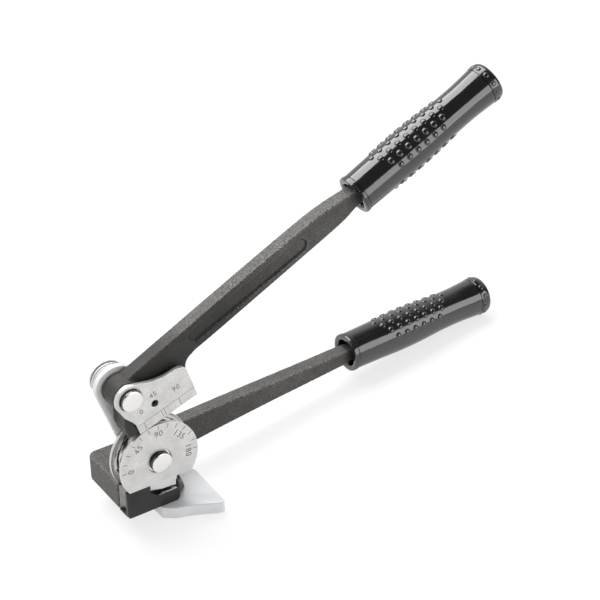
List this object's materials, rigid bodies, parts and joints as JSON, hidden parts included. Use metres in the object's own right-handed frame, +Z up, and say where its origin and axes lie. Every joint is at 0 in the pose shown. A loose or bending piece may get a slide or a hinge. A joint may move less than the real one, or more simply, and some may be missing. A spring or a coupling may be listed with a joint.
{
  "type": "lever tube bender",
  "caption": "Hand lever bender for 3/8 inch tube: marked forming mandrel, link arm, bending shoe, tube latch with thumb lever, vise block and two long vinyl-gripped handles.",
  "frame": {"origin": "centre of the bounding box's bottom face: the plane the tool stands on", "axes": "+Z up, +X towards the grips, -Y the side with the dial"},
  "size_m": [0.28, 0.0638, 0.1897],
  "materials": {
    "forging": "grainy black finish on an investment cast or forged steel body",
    "black_steel": "satin black oxide",
    "machined_steel": "fine machined, matt nickel grey",
    "plated_steel": "zinc plated, satin",
    "bright_steel": "ground and polished",
    "bronze": "sintered bronze",
    "grip_vinyl": "glossy black dipped vinyl"
  },
  "bodies": {
    "lower_body": {"lower_handle": "forging", "lower_grip": "grip_vinyl", "forming_mandrel": "machined_steel", "mandrel_key_pin": "bright_steel", "tube_seat": "machined_steel", "latch_housing": "black_steel", "housing_pin_upper": "bright_steel", "housing_pin_lower": "bright_steel", "mandrel_pin": "bright_steel", "mandrel_pin_ring": "black_steel", "thrust_washer": "bronze"},
    "link": {"link_plate": "bright_steel", "mandrel_pin_bush": "bronze", "pivot_pin_bush": "bronze", "pivot_pin": "bright_steel", "spring_washer": "plated_steel", "pivot_pin_ring": "black_steel", "handle_spring": "bright_steel"},
    "upper_body": {"bending_shoe": "machined_steel", "shoe_set_screw": "black_steel", "upper_handle": "forging", "upper_grip": "grip_vinyl"},
    "latch": {"latch_screw": "plated_steel", "latch_lever": "plated_steel", "latch_nut": "black_steel"}
  },
  "joints": [
    {"name": "link_swing", "type": "hinge", "parent": "lower_body", "child": "link", "pos_m": [-0.1145, -0.01607, 0.04337], "axis": [0, 1, 0], "range_deg": [-71.1, 98.9]},
    {"name": "handle_lift", "type": "hinge", "parent": "link", "child": "upper_body", "pos_m": [-0.1243, -0.01607, 0.09341], "axis": [0, 1, 0], "range_deg": [-110, 0]},
    {"name": "latch_turn", "type": "hinge", "parent": "lower_body", "child": "latch", "pos_m": [-0.11092, -0.00557, 0.00331], "axis": [0.1361, 0, 0.9907], "range_deg": [-30, 40]}
  ]
}
